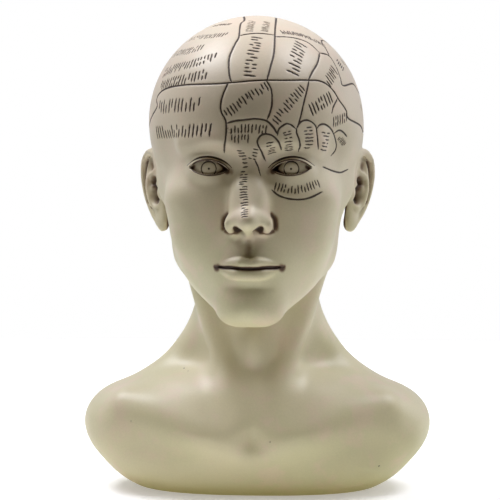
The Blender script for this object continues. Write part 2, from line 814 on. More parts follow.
@dataclass(frozen=True)
class StrokeRow:
    """A row of shallow strokes in the place of a word. The strokes stand apart and are no letters."""

    spots: Run
    height: float  # in millimetres, as it is seen where the row is in the photograph
    seed: int = 1
    spacing: float = 0.42  # from stroke to stroke, as a share of the height
    start: float = 0.42  # where a stroke's foot stands, as a share of its cell, as are the next two
    sway: float = 0.08
    slant: float = 0.16

    def real_height(self, line: Points, normals: Points, camera: PhotoCamera) -> float:
        """The height on the skin, in millimetres, of a row that is seen slantwise."""
        if isinstance(self.spots[0], Around):
            return self.height
        middle = len(line) // 2
        along = line[min(middle + 1, len(line) - 1)] - line[middle - 1]
        up = unit(np.cross(normals[middle], along)[None])[0]
        sight = unit((camera.place - line[middle])[None])[0]
        return self.height / max(lengths(np.cross(up, sight)[None])[0], 0.5)

    def strokes(self, line: Points, normals: Points, height: float) -> list[Points]:
        """The row's strokes, close to the skin.

        Args:
            line: Close points along the middle of the row.
            normals: The way outwards at each.
            height: The row's height, in metres.

        Returns:
            Close points along each stroke.
        """
        length = lengths(np.diff(line, axis=0)).sum()
        up = unit(np.cross(normals, unit(np.gradient(line, axis=0))))
        cells = max(round(length / (self.spacing * self.height * MM)), 2)
        random = np.random.default_rng(self.seed)
        made = []
        for cell in range(cells):
            for start, end in self.cell_strokes(random):
                t = np.linspace(0.0, 1.0, max(int(height * math.dist(start, end) / SPACING), 3))
                across = start[0] + (end[0] - start[0]) * t
                rise = start[1] + (end[1] - start[1]) * t
                station = (np.clip((cell + across) / cells, 0.0, 1.0) * (len(line) - 1)).astype(int)
                made.append(line[station] + up[station] * ((rise - 0.5) * height)[:, None])
        return made

    def cell_strokes(self, random: np.random.Generator) -> list[tuple[Pair, Pair]]:
        """One stroke, long or short, or two with a gap between, as ends in shares of one cell."""
        full = [(0.0, 1.0)]
        broken = [(0.0, 0.36), (0.64, 1.0)]
        kinds = (full, full, full, [(0.08, 0.9)], [(0.0, 0.62)], [(0.38, 1.0)], broken)
        foot = self.start + random.uniform(-self.sway, self.sway)
        kind = kinds[random.integers(len(kinds))]
        return [((foot + self.slant * low, low), (foot + self.slant * high, high)) for low, high in kind]


def taper(t: Values, share: float) -> Values:
    """A width that narrows over a share of the length at both ends."""
    return 0.45 + 0.55 * smooth_step(0.0, share, np.minimum(t, 1.0 - t))


@dataclass(frozen=True)
class SeenLines:
    """The dividing lines that the photograph shows, and how four of them go on out of sight."""

    # The tall column in the middle, and the cells beside it
    column_left: Run = around(
        (-171, -26), (-169, -8), (-168, 15), (-165, 40), (-160, 54), (-153, 66), (-141, 75), (-105, 82),
    ) + seen(
        (244.5, 19.6), (240.7, 23.9), (238.9, 36.5), (235.4, 43.5), (229.8, 56.1), (228.7, 65.9),
        (229.8, 77.2), (231.9, 82.8),
    )
    column_right: Run = around(
        (171, -26), (169, -8), (168, 15), (164, 40), (158, 53), (150, 64), (136, 72), (100, 79),
    ) + seen(
        (275.8, 23.2), (275, 33.7), (274, 53.3), (270.5, 67.4), (267, 80.3),
    )
    column_bar: Run = seen((238.9, 35.8), (255, 33.4), (275, 35.1))
    band: Run = around(
        (-169, -12), (-150, -11), (-125, -8), (-98, -6), (-82, -4), (-70, 0),
    ) + seen(
        (156.6, 108), (156.6, 99.6), (159.6, 93.3), (166.7, 88.4), (182.1, 85.3), (207.3, 84.2),
        (231.2, 82.8), (266.3, 80.3), (287.3, 80.3), (308.4, 80.3), (318.2, 80.7), (326.6, 84.2),
        (333.6, 91.2), (339.2, 100.3), (346.3, 110.8), (349, 119),
    ) + around(
        (74, -2), (86, -5), (100, -6), (125, -8), (150, -11), (169, -12),
    )
    upper_cell_top: Run = seen((275, 36.8), (294.3, 37.9), (308.4, 42.8), (319.6, 52.8))
    upper_cell_side: Run = seen((319.6, 53.3), (317.5, 63.1), (312.6, 71.6), (308.4, 79.8))
    outer_cell_top: Run = seen(
        (320, 53), (329.4, 56.1), (336.4, 67.3), (340.6, 78.6), (343.5, 85.6),
    ) + around(
        (70, 20), (82, 16), (104, 13), (135, 11), (168, 13),
    )

    # The forehead below the band
    forehead_left: Run = seen(
        (228.1, 83.4), (222.8, 95.4), (220.7, 105.2), (221.4, 112.2), (224.6, 118), (226.1, 122.9),
        (226.1, 132.9), (225, 142), (224.2, 152.8),
    )
    forehead_right: Run = seen((266.5, 81), (271.2, 89.8), (271.9, 103.8), (270, 112.2), (267, 119.8))
    forehead_bottom: Run = seen(
        (226.5, 123.3), (234.1, 121), (247.1, 119.5), (255.3, 118.7), (266, 120.6), (272.9, 126.7),
        (277.5, 134.4),
    )
    forehead_divider: Run = seen((309, 80.8), (307, 90), (303.5, 103.8), (298.9, 122.9), (296.6, 129))
    temple_divider: Run = seen((337.5, 98.5), (333.4, 106.8), (331.8, 113))

    # The lobes above the figure's left eye
    lobe_first: Run = seen(
        (266, 161), (262.2, 153), (257.6, 143.6), (258, 139), (261.4, 135.1), (266.8, 134), (272.9, 135.9),
        (278.3, 141.5), (280.6, 147), (281.3, 150),
    )
    lobe_second: Run = seen(
        (277.5, 135.2), (279, 129), (283.6, 125.2), (287.5, 123.7), (292, 125.6), (295.9, 129),
    )
    lobe_third: Run = seen((297, 127.5), (296.6, 132.9), (298.9, 139), (300.1, 146), (298.4, 151.5))
    lobe_fourth: Run = seen(
        (297, 126.7), (301.2, 121.8), (306.6, 120.2), (311.9, 122.1), (315.8, 126.7), (316.9, 132.9),
        (317.7, 142), (318.4, 149),
    )
    lobe_fifth: Run = seen(
        (317, 128.6), (319.6, 125.2), (323.4, 124.1), (328, 126), (332.6, 131.3), (335.3, 139),
        (336.4, 145.9), (334.9, 151.2), (331.1, 155.8),
    )
    lobe_sixth: Run = seen((334.2, 133.4), (338.7, 130.4), (342.6, 131.7), (347.2, 136.7))

    # About the nose's root and the eye
    nose_side: Run = seen((255, 160), (258.5, 168), (261, 176))
    under_eye: Run = seen((272, 190), (281, 196.5), (296, 199.5), (309, 198), (322, 192))
    outer_eye: Run = seen((323, 167), (333, 171), (341, 172.5), (348, 169.5))


@dataclass(frozen=True)
class SeenRows:
    """The rows of strokes that the photograph shows, in the places and at the sizes of the words."""

    upper_left: Rows = (
        (6.4, ((160.5, 86.5), (184, 79.5), (208.5, 73.5))), (5.8, ((164, 73.5), (189, 64.5), (217, 56.5))),
        (5.4, ((169.5, 59), (186, 51.5), (203.5, 47))), (4.4, ((188, 40.5), (207, 36.5), (227, 34.5))),
        (2.4, ((212, 26.5), (231, 24.2))),
    )
    forehead_left: Rows = (
        (8.0, ((158.5, 107.5), (180, 105), (201.5, 104))), (7.6, ((156, 132.5), (184, 131), (213, 130))),
    )
    column: Rows = (
        (6.6, ((249.4, 77.5), (252, 57), (257.5, 36.5))), (4.4, ((249, 31.5), (252.5, 20.5))),
        (4.4, ((264.5, 31.5), (267, 21.5))),
    )
    upper_right: Rows = (
        (7.8, ((292.5, 75), (296, 58), (301.5, 43))), (6.6, ((327, 83), (335, 69))),
        (2.8, ((281, 32), (304, 36), (326, 47))), (3.6, ((336.5, 60), (344, 70))),
    )
    forehead: Rows = (
        (5.4, ((225.5, 115), (246, 99), (268, 85.5))), (5.6, ((274.5, 123), (288, 105), (303.5, 86.5))),
        (7.0, ((309.5, 111), (321, 103.5), (332, 96))), (5.8, ((332.5, 122.5), (347.5, 116.5))),
        (5.0, ((230, 129.5), (249, 128.5), (268, 130))), (4.8, ((230.5, 139), (250, 138.5))),
    )
    nose: Rows = ((4.6, ((244.5, 218), (243, 183), (240.5, 149.5))),)
    lobe: Rows = (
        (4.4, ((252, 160), (255, 147.5))), (4.8, ((272, 154), (269.5, 141))),
        (4.6, ((289, 151), (286.5, 131))), (4.8, ((308.5, 149), (307.5, 126))),
        (4.6, ((323.5, 151.5), (326.5, 131))), (3.4, ((339, 137), (345, 145.5))),
    )
    eye: Rows = ((4.8, ((274, 186), (296, 189.5), (320, 183.5))),)


@dataclass(frozen=True)
class HiddenRows:
    """The rows of strokes on the hidden sides."""

    left_side: Rows = (
        (4.6, ((70, 33), (83, 32))), (6.0, ((94, 31), (113, 29))), (6.0, ((126, 29), (144, 27))),
        (4.4, ((156, 28), (164, 28))), (5.4, ((96, 6), (116, 3))), (5.4, ((130, 2), (162, -2))),
        (4.4, ((76, 8), (87, 7))), (4.4, ((66, 60), (88, 62))), (5.4, ((100, 56), (126, 54))),
        (4.4, ((140, 52), (158, 54))), (4.4, ((134, -16), (144, -24))), (4.0, ((160, -18), (168, -26))),
    )
    back: Rows = (
        (6.0, ((180, 66), (180, 50))), (6.0, ((180, 36), (180, 19))), (5.4, ((180, 6), (180, -10))),
    )
    right_side: Rows = (
        (6.4, ((-88, 30), (-113, 28))), (6.0, ((-126, 29), (-144, 27))), (4.4, ((-156, 28), (-164, 28))),
        (6.0, ((-84, 7), (-106, 4))), (5.4, ((-116, 3), (-134, 1))), (5.0, ((-146, 0), (-164, -2))),
        (6.0, ((-108, 54), (-150, 56))), (4.4, ((-134, -16), (-144, -24))),
        (4.0, ((-160, -18), (-168, -26))), (4.4, ((-60, 66), (-95, 70))),
    )


@dataclass(frozen=True)
class RegionMap:
    """The traditional map of regions: its dividing lines, and rows of strokes where the words stand."""

    seen_lines: SeenLines = SeenLines()
    seen_rows: SeenRows = SeenRows()
    hidden_rows: HiddenRows = HiddenRows()
    line_half_width: float = 0.56  # in millimetres, as are the other widths and depths
    line_depth: float = 0.42
    stroke_share: float = 0.085  # half a stroke's width, as a share of its row's height
    thinnest_stroke: float = 0.34
    thickest_stroke: float = 0.6
    stroke_depth: float = 0.32
    stroke_narrows: float = 0.12  # over how much of its length a stroke narrows at both ends
    line_taper: float = 2.5  # how far from its ends a line narrows
    line_wander: Pair = (0.86, 1.14)  # between which a line's width wanders, as shares of it
    wander_knots: int = 12
    line_seed: int = 100
    first_seed: int = 11  # of the rows of strokes

    # Bars across the column behind, and the dividers of the hidden sides
    back_bars: tuple[Places, ...] = (
        ((-149, 69), (180, 71), (148, 66)),
        ((-165, 42), (180, 41), (164, 41)),
        ((-168, 15), (180, 12), (168, 15)),
        ((-170, -14), (180, -17), (170, -14)),
    )
    left_ring: Places = ((62, 47), (100, 44), (135, 42), (165, 43))
    left_dividers: tuple[Places, ...] = (
        ((84, 46), (92, 60), (98, 72), (92, 80)),
        ((128, 42), (134, 56), (147, 68)),
        ((86, 15), (85, 30), (88, 45)),
        ((118, 12), (119, 28), (122, 43)),
        ((148, 12), (149, 27), (151, 42)),
        ((92, -5), (90, 5), (92, 14)),
        ((124, -8), (122, 3), (123, 12)),
        ((120, -8), (122, -18), (130, -28)),
        ((148, -11), (151, -22), (157, -31), (171, -34)),
    )
    right_dividers: tuple[Places, ...] = (
        ((-78, -3), (-76, 14), (-80, 32), (-92, 50), (-112, 62), (-148, 69)),
        ((-78, 18), (-105, 16), (-135, 13), (-168, 14)),
        ((-90, 48), (-115, 45), (-140, 43), (-165, 43)),
        ((-118, 14), (-119, 30), (-122, 44)),
        ((-146, 12), (-148, 28), (-150, 43)),
        ((-112, -7), (-110, 5), (-111, 16)),
        ((-140, -10), (-139, 2), (-140, 12)),
        ((-120, -8), (-122, -18), (-130, -28)),
        ((-148, -11), (-151, -22), (-157, -31), (-171, -34)),
    )

    def lines(self) -> list[Run]:
        """All dividing lines, the seen ones and those on the hidden sides."""
        bars = [around(*bar) for bar in self.back_bars]
        ring = self.seen_lines.outer_cell_top[1:2] + around(*self.left_ring)
        dividers = [around(*places) for places in self.left_dividers + self.right_dividers]
        return [*vars(self.seen_lines).values(), *bars, ring, *dividers]

    def rows(self) -> list[StrokeRow]:
        """All rows of strokes, each with its own seed."""
        tables = ((seen, self.seen_rows), (around, self.hidden_rows))
        placed = [(spots(*places), height) for spots, table in tables
                  for rows in vars(table).values() for height, places in rows]
        return [StrokeRow(*row, self.first_seed + number) for number, row in enumerate(placed)]

    def grooves(self, finder: SkinFinder) -> list[Groove]:
        """Every engraved line and stroke on the skin."""
        made = []
        for number, points in enumerate(finder.paths(self.lines())):
            t = np.linspace(0.0, 1.0, len(points))
            random = np.random.default_rng(self.line_seed + number)
            knots = np.linspace(0, 1, self.wander_knots)
            wander = np.interp(t, knots, random.uniform(*self.line_wander, self.wander_knots))
            narrows = min(self.line_taper * MM / (SPACING * len(points)), 0.4)
            half = self.line_half_width * MM * wander * taper(t, narrows)
            made.append(Groove(points, half, np.full(len(points), self.line_depth * MM)))
        return made + self.stroke_grooves(finder)

    def stroke_grooves(self, finder: SkinFinder) -> list[Groove]:
        """Every stroke of every row, as grooves whose width follows the row's height."""
        rows = self.rows()
        lines = finder.paths([row.spots for row in rows])
        strokes, half_widths = [], []
        for row, line in zip(rows, lines):
            normals = finder.form.normals(line)
            height = row.real_height(line, normals, finder.camera)
            made = row.strokes(line, normals, height * MM)
            half = min(max(self.stroke_share * row.height, self.thinnest_stroke), self.thickest_stroke) * MM
            strokes += made
            half_widths += [half] * len(made)
        grooves = []
        for points, half in zip(finder.landed(strokes), half_widths):
            t = np.linspace(0.0, 1.0, len(points))
            depths = np.full(len(points), self.stroke_depth * MM)
            grooves.append(Groove(points, half * taper(t, self.stroke_narrows), depths))
        return grooves


@dataclass(frozen=True)
class IrisCarving:
    """The ring and the small pupil that are cut into each eyeball."""

    ring_degrees: float = 25.0
    half_width: float = 0.42  # in millimetres, as are the next three
    depth: float = 0.3
    pupil_half_width: float = 0.65
    pupil_depth: float = 0.5
    ring_points: int = 220
    lid_gap: float = 0.002  # how far from the lids the ring ends, in head heights

    def grooves(self, form: BustForm) -> list[Groove]:
        """Both eyes' rings and pupils, where the lids leave them free."""
        made = []
        eye = form.eye
        turn = np.linspace(0.0, 2 * np.pi, self.ring_points)
        cone = math.radians(self.ring_degrees)
        forward = np.full(self.ring_points, -math.cos(cone))
        ways = columns(math.sin(cone) * np.cos(turn), forward, math.sin(cone) * np.sin(turn))
        for side in BOTH_SIDES:
            centre = np.array(eye.centre) * (side, 1.0, 1.0)
            ring = centre + ways * eye.ball_radius
            local = ring - centre
            upper, lower = eye.opening(local[:, 0] * side, local[:, 2])
            free = ring[np.maximum(upper, lower) < -self.lid_gap]
            made.append(even_groove(form.to_frame(free), self.half_width, self.depth))
            pupil = form.to_frame(centre[None] + np.array([[0.0, -eye.ball_radius, 0.0]]))
            made.append(even_groove(pupil, self.pupil_half_width, self.pupil_depth))
        return made


@dataclass(frozen=True)
class FineFold:
    """A fold of the face that is cut a little deeper, with dark wash left in it."""

    places: Points | tuple[Triple, ...]  # close to the skin, in head heights
    half_width: float  # in millimetres
    depth: float
    wash: float  # how dark the wash in it is, from 0 to 1
    sides: tuple[float, ...] = BOTH_SIDES
    narrows: float = 0.3  # over how much of the length it narrows at both ends

    def grooves(self, form: BustForm) -> list[Groove]:
        """The fold as a groove on each of its sides."""
        made = []
        for side in self.sides:
            path = form.to_frame(smooth_path(np.array(self.places), FOLD_STEPS) * (side, 1.0, 1.0))
            points = form.land_from_front(evenly(path, SPACING))
            narrow = taper(np.linspace(0.0, 1.0, len(points)), self.narrows)
            made.append(Groove(points, self.half_width * MM * narrow, self.depth * MM * narrow, self.wash))
        return made


@dataclass(frozen=True)
class Stain:
    """Dark wash about a line in a hollow, which fades outwards."""

    places: Points | tuple[Triple, ...]  # in head heights
    full: float  # how far from the line it is darkest, in millimetres
    faded: float  # how far from the line it ends
    strength: float = 1.0
    sides: tuple[float, ...] = BOTH_SIDES
    landed: bool = True  # whether the line is first moved on to the face, straight back or forward

    def lines(self, form: BustForm) -> list[Points]:
        """Close points along the line on each side."""
        rough = smooth_path(np.array(self.places), FOLD_STEPS)
        lines = [evenly(form.to_frame(rough * (side, 1.0, 1.0)), STAIN_SPACING) for side in self.sides]
        return [form.land_from_front(line) for line in lines] if self.landed else lines

    def darken(self, line: Points, points: Points, values: Values) -> None:
        """Raises the values of the points that the stain about one line covers."""
        middle = line.mean(axis=0)
        reach = lengths(line - middle).max() + self.faded * MM
        near = np.flatnonzero(lengths(points - middle) < reach)
        away = np.linalg.norm(points[near][:, None] - line[None], axis=2).min(axis=1, initial=reach)
        made = self.strength * (1.0 - smooth_step(self.full * MM, self.faded * MM, away))
        values[near] = np.maximum(values[near], made)


class Wash:
    """All the stains together."""

    def __init__(self, stains: list[Stain], form: BustForm) -> None:
        self.parts = [(stain, line) for stain in stains for line in stain.lines(form)]

    def values(self, points: Points) -> Values:
        """How stained each point is, from 0 to 1."""
        values = np.zeros(len(points))
        for stain, line in self.parts:
            stain.darken(line, points, values)
        return values


@dataclass(frozen=True)
class FineFolds:
    """The folds of the lids and the mouth, and the wash in the hollows of the face and the ears."""

    lid_line_out: float = 0.002  # how far outside the lids' edges their lines run, in head heights
    lid_fold: Triple = (0.55, 0.45, 0.97)  # half the width and the depth, in millimetres, and the wash
    upper_lid: Triple = (0.42, 0.12, 0.95)
    lower_lid: Triple = (0.36, 0.1, 0.95)
    mouth_line: Triple = (0.85, 0.7, 0.97)
    wing: Triple = (0.6, 0.35, 0.9)
    inner_end: Triple = (0.6, 3.0, 0.9)  # where full and where faded, in millimetres, and how dark
    outer_end: Triple = (0.2, 2.2, 0.8)
    eye_corner: Triple = (0.2, 3.2, 0.45)
    nostril: Triple = (2.4, 4.4, 1.0)
    under_wing: Triple = (0.2, 2.2, 0.8)
    beside_wing: Triple = (0.2, 3.2, 0.8)
    under_nose: Triple = (0.0, 4.2, 0.42)
    lips: Triple = (0.5, 2.3, 0.85)
    mouth_corner: Triple = (0.5, 3.6, 0.92)
    ear_bowl: Triple = (1.4, 7.4, 0.93)
    ear_channel: Triple = (0.4, 2.9, 0.78)
    ear_hollow: Triple = (0.3, 4.4, 0.55)

    @property
    def half_mouth(self) -> tuple[Triple, ...]:
        """The line between the lips, from the middle to one corner."""
        inner = ((0.0, -0.465, 0.1885), (0.02, -0.462, 0.1895), (0.05, -0.447, 0.1915))
        return (*inner, (0.08, -0.425, 0.1905), (0.1, -0.405, 0.1918), (0.109, -0.395, 0.1905))

    def folds(self, eye: Eye) -> list[FineFold]:
        """All folds."""
        rise, drop = eye.upper_rise, -eye.lower_drop
        mouth = tuple((-x, y, z) for x, y, z in self.half_mouth[:0:-1]) + self.half_mouth
        wing = ((0.066, -0.44, 0.362), (0.076, -0.425, 0.348), (0.081, -0.412, 0.328),
                (0.077, -0.408, 0.304))
        return [
            FineFold(eye.lid_line(rise, eye.fold_above, -1.0, 1.04), *self.lid_fold),
            FineFold(eye.lid_line(rise, self.lid_line_out, -1.0, 0.97), *self.upper_lid),
            FineFold(eye.lid_line(drop, self.lid_line_out, -1.0, 0.97), *self.lower_lid),
            FineFold(wing, *self.wing),
            FineFold(mouth, *self.mouth_line, (1.0,), 0.03),
        ]

    def stains(self, form: BustForm) -> list[Stain]:
        """All wash in the hollows of the face and the ears."""
        rise = form.eye.upper_rise
        under = ((0.036, -0.452, 0.302), (0.058, -0.432, 0.298), (0.076, -0.412, 0.304))
        beside = ((0.07, -0.435, 0.356), (0.08, -0.415, 0.34), (0.082, -0.408, 0.312))
        face = [
            Stain(form.eye.lid_line(rise, -0.008, -1.0, -0.8), *self.inner_end),
            Stain(form.eye.lid_line(rise, -0.008, 0.8, 0.92), *self.outer_end),
            Stain(((0.066, -0.372, 0.496), (0.058, -0.378, 0.488)), *self.eye_corner),
            Stain(((0.028, -0.484, 0.318), (0.031, -0.466, 0.322), (0.034, -0.448, 0.318)), *self.nostril,
                  BOTH_SIDES, False),
            Stain(under, *self.under_wing),
            Stain(beside, *self.beside_wing),
            Stain(((0.0, -0.455, 0.272), (0.0, -0.46, 0.234)), *self.under_nose, (1.0,)),
            Stain(self.half_mouth, *self.lips),
            Stain(((0.096, -0.41, 0.1915), (0.105, -0.4, 0.187)), *self.mouth_corner),
        ]
        bowl = ((-0.008, -0.03, -0.008), (-0.008, -0.004, -0.01), (-0.004, 0.032, -0.004))
        channel = ((0.046, -0.03, 0.008), (0.049, 0.02, 0.006), (0.044, 0.07, 0.006), (0.028, 0.104, 0.008))
        hollow = ((0.0, 0.08, 0.008), (0.002, 0.092, 0.008))
        for line, size in ((bowl, self.ear_bowl), (channel, self.ear_channel), (hollow, self.ear_hollow)):
            face.append(Stain(form.ear.placed(np.array(line)), *size, BOTH_SIDES, False))
        return face

    def grooves(self, form: BustForm) -> list[Groove]:
        """All folds as grooves."""
        return [groove for fold in self.folds(form.eye) for groove in fold.grooves(form)]


@dataclass(frozen=True)
class AirPits:
    """The few small pits that air left in the casting."""

    spots: Run = seen((184, 368), (379, 466), (188, 371), (270, 442), (131, 421))
    half_widths: tuple[float, ...] = (0.42, 0.5, 0.26, 0.3, 0.24)
    depth: float = 0.4

    def grooves(self, finder: SkinFinder) -> list[Groove]:
        """One short groove for each pit."""
        made = []
        for spot, half_width in zip(self.spots, self.half_widths):
            point = finder.form.land(finder.find(spot)[None], 3)
            made.append(even_groove(point, half_width, self.depth))
        return made


class Engraving:
    """Many grooves together: how far each point of the skin is from them, and how deep they are there."""

    def __init__(self, grooves: list[Groove], name: str) -> None:
        self.name = name
        self.half_widths = np.concatenate([groove.half_widths for groove in grooves])
        self.depths = np.concatenate([groove.depths for groove in grooves])
        self.washes = np.concatenate([np.full(len(groove.points), groove.wash) for groove in grooves])
        marks = unit(np.random.default_rng(7).normal(size=(len(grooves), 3)))
        self.marks = np.repeat(marks, [len(groove.points) for groove in grooves], axis=0)
        self.places = np.concatenate([groove.points for groove in grooves])
        self.ways = np.concatenate([self.way(groove.points) for groove in grooves])
        self.tree = KDTree(len(self.places))
        for number, place in enumerate(self.places):
            self.tree.insert(place, number)
        self.tree.balance()

    def way(self, points: Points) -> Points:
        """The direction of a groove at each of its points."""
        return unit(np.gradient(points, axis=0)) if len(points) > 1 else np.zeros((1, 3))

    def nearest(self, p: Points) -> tuple[Values, Array]:
        """The distance to the nearest groove's middle, and the number of its nearest point."""
        found = [self.tree.find(point)[1:] for point in p]
        numbers, distances = zip(*found)
        return np.array(distances), np.array(numbers)

    def offsets(self, p: Points) -> tuple[Points, Array]:
        """The way from each point to the nearest groove's middle, between its points as well."""
        _, numbers = self.nearest(p)
        offset = self.places[numbers] - p
        along = (offset * self.ways[numbers]).sum(axis=1)
        within = np.clip(along, -SPACING / 2, SPACING / 2)
        return offset - within[:, None] * self.ways[numbers], numbers

    def cut(self, p: Points, width: float) -> tuple[Values, dict[str, Array]]:
        """How deep the grooves are at each point, and the measures that the material reads.

        Args:
            p: Points of the uncut skin.
            width: How far a groove's sides reach, as a share of half its width.

        Returns:
            The depths, in metres, and the measures by name, in millimetres.
        """
        offset, numbers = self.offsets(p)
        away, half = lengths(offset), self.half_widths[numbers]
        profile = 0.5 + 0.5 * np.cos(np.pi * np.clip(away / (width * half), 0.0, 1.0))
        shorter = offset * (FARTHEST / np.maximum(away, 1e-9))[:, None]
        offset = np.where((away > FARTHEST)[:, None], shorter, offset)
        measures = {"_offset": offset / MM, "_away": np.minimum(away, FARTHEST) / MM, "_half": half / MM,
                    "_wash": self.washes[numbers], "_mark": self.marks[numbers]}
        return self.depths[numbers] * profile, {self.name + end: value for end, value in measures.items()}


def edge_keys(starts: Array, ends: Array, size: int) -> Array:
    """One whole number for each edge, whichever of its two points comes first."""
    return np.minimum(starts, ends).astype(np.int64) * size + np.maximum(starts, ends)


@dataclass
class Skin:
    """A closed skin of triangles over the bust's form, whose faces share their points."""

    form: BustForm
    points: Points
    faces: Array
    wanted: Values = field(default_factory=lambda: np.zeros(0))
    least_gain: float = 0.02  # past a half turn, of the two angles that a turned edge halves, in radians
    least_likeness: float = 0.75  # between the normals of the faces before and after

    def edges(self) -> tuple[Array, Array]:
        """Each edge once.

        Returns:
            The two points of each edge, and for each corner of each face the edge that starts there.
        """
        keys = edge_keys(self.faces, np.roll(self.faces, -1, axis=1), len(self.points))
        unique, inverse = np.unique(keys.ravel(), return_inverse=True)
        return columns(*divmod(unique, len(self.points))), inverse.reshape(-1, 3)

    def spread(self, edges: Array, growth: float, sweeps: int = 6) -> None:
        """Lets the wanted length grow only slowly from one point to the next."""
        a, b = edges.T
        rise = growth * lengths(self.points[a] - self.points[b])
        for _ in range(sweeps):
            np.minimum.at(self.wanted, b, self.wanted[a] + rise)
            np.minimum.at(self.wanted, a, self.wanted[b] + rise)

    def split(self, longest: float = 1.34) -> int:
        """Splits every edge that is much too long, and each face by how many of its edges are split.

        Args:
            longest: The most that an edge may be, as a share of the wanted length.

        Returns:
            How many edges were split.
        """
        edges, of_face = self.edges()
        a, b = edges.T
        stretch = 2 * lengths(self.points[a] - self.points[b]) / (self.wanted[a] + self.wanted[b])
        chosen = np.flatnonzero(stretch > longest)
        middle = np.full(len(edges), -1)
        middle[chosen] = len(self.points) + np.arange(len(chosen))
        a, b = a[chosen], b[chosen]
        new = self.form.land((self.points[a] + self.points[b]) / 2, 2)
        self.points = np.vstack([self.points, new])
        self.wanted = np.concatenate([self.wanted, (self.wanted[a] + self.wanted[b]) / 2])
        mid = middle[of_face]
        count = (mid >= 0).sum(axis=1)
        made = [self.faces[count == 0]]
        first = np.argmax(mid >= 0, axis=1)
        (u, v, w), (m, _, _) = self.turned(mid, first, count == 1)
        made += [columns(u, m, w), columns(m, v, w)]
        whole = np.argmax(mid < 0, axis=1)
        (u, v, w), (_, right, left) = self.turned(mid, whole, count == 2)
        made.append(columns(w, left, right))
        rising = lengths(self.points[u] - self.points[right]) < lengths(self.points[v] - self.points[left])
        pairs = ((u, v), (v, right), (right, left))
        made.append(columns(u, np.where(rising, right, v), left))
        made.append(columns(*(np.where(rising, one, other) for one, other in pairs)))
        (u, v, w), (p, q, r) = self.turned(mid, first * 0, count == 3)
        for corners in ((u, p, r), (v, q, p), (w, r, q), (p, q, r)):
            made.append(columns(*corners))
        self.faces = np.concatenate(made)
        return len(chosen)

    def turned(self, mid: Array, first: Array, chosen: Array) -> tuple[Array, Array]:
        """The corners and middles of the chosen faces, turned so that the given edge comes first."""
        order = (first[chosen][:, None] + np.arange(3)) % 3
        corners = np.take_along_axis(self.faces[chosen], order, axis=1)
        return corners.T, np.take_along_axis(mid[chosen], order, axis=1).T

    def corner_angle(self, tip: Array, a: Array, b: Array) -> Values:
        """The angle at a tip between the ways to two other points."""
        u = unit(self.points[a] - self.points[tip])
        v = unit(self.points[b] - self.points[tip])
        return np.arccos(np.clip((u * v).sum(axis=1), -1.0, 1.0))

    def face_normals(self, a: Array, b: Array, c: Array) -> Points:
        """The way each triangle faces."""
        return unit(np.cross(self.points[b] - self.points[a], self.points[c] - self.points[a]))

    def flip(self) -> int:
        """Turns the edges whose two faces would be better shaped the other way round.

        Returns:
            How many edges were turned.
        """
        size = len(self.points)
        starts, ends = self.faces.ravel(), np.roll(self.faces, -1, axis=1).ravel()
        tips = np.roll(self.faces, -2, axis=1).ravel()
        keys = edge_keys(starts, ends, size)
        order = np.argsort(keys, kind="stable")
        sorted_keys = keys[order]
        one, other = order.reshape(-1, 2).T
        a, b, c, d = starts[one], ends[one], tips[one], tips[other]
        total = self.corner_angle(c, a, b) + self.corner_angle(d, a, b)
        new_keys = edge_keys(c, d, size)
        place = np.minimum(np.searchsorted(sorted_keys, new_keys), len(sorted_keys) - 1)
        poor = (total > np.pi + self.least_gain) & (sorted_keys[place] != new_keys) & (c != d)
        old = (self.face_normals(a, b, c), self.face_normals(b, a, d))
        new = (self.face_normals(a, d, c), self.face_normals(b, c, d))
        for before in old:
            for after in new:
                poor &= (before * after).sum(axis=1) > self.least_likeness
        score = np.where(poor, total, 0.0)
        best = np.zeros(len(self.faces))
        for faces in (one // 3, other // 3):
            np.maximum.at(best, faces, score)
        chosen = np.flatnonzero(poor & (score >= best[one // 3]) & (score >= best[other // 3]))
        _, kept = np.unique(new_keys[chosen], return_index=True)
        chosen = chosen[kept]
        used = np.zeros(len(self.faces), dtype=int)
        for faces in (one // 3, other // 3):
            np.add.at(used, faces[chosen], 1)
        chosen = chosen[(used[one[chosen] // 3] == 1) & (used[other[chosen] // 3] == 1)]
        a, b, c, d = a[chosen], b[chosen], c[chosen], d[chosen]
        self.faces[one[chosen] // 3] = columns(a, d, c)
        self.faces[other[chosen] // 3] = columns(b, c, d)
        return len(chosen)

    def folded(self, least: float = 0.25) -> Array:
        """Which faces face away from the form, where the skin has folded over itself."""
        a, b, c = self.faces.T
        normals = self.form.normals(self.points)
        return (self.face_normals(a, b, c) * unit(normals[a] + normals[b] + normals[c])).sum(axis=1) < least

    def mend(self) -> bool:
        """Draws each folded spot together into one point.

        Returns:
            Whether there was one, and the skin stayed closed.
        """
        label = np.arange(len(self.points))
        chosen = self.faces[self.folded()]
        for _ in range(30):
            np.minimum.at(label, chosen.ravel(), np.repeat(label[chosen].min(axis=1), 3))
        faces = label[self.faces]
        a, b, c = faces.T
        faces = faces[(a != b) & (b != c) & (c != a)]
        corners = np.sort(faces, axis=1)
        _, inverse, times = np.unique(corners, axis=0, return_inverse=True, return_counts=True)
        faces = faces[times[inverse.ravel()] == 1]
        keys = edge_keys(faces, np.roll(faces, -1, axis=1), len(label))
        if len(chosen) == 0 or (np.unique(keys, return_counts=True)[1] != 2).any():
            return False
        used = np.unique(faces)
        counts = np.bincount(label)[used]
        sums = [np.bincount(label, self.points[:, axis])[used] for axis in range(3)]
        self.points = columns(*sums) / counts[:, None]
        self.points[counts > 1] = self.form.land(self.points[counts > 1], 3)
        self.faces = np.searchsorted(used, faces)
        log.info("mended: %d folded faces", len(chosen))
        return True

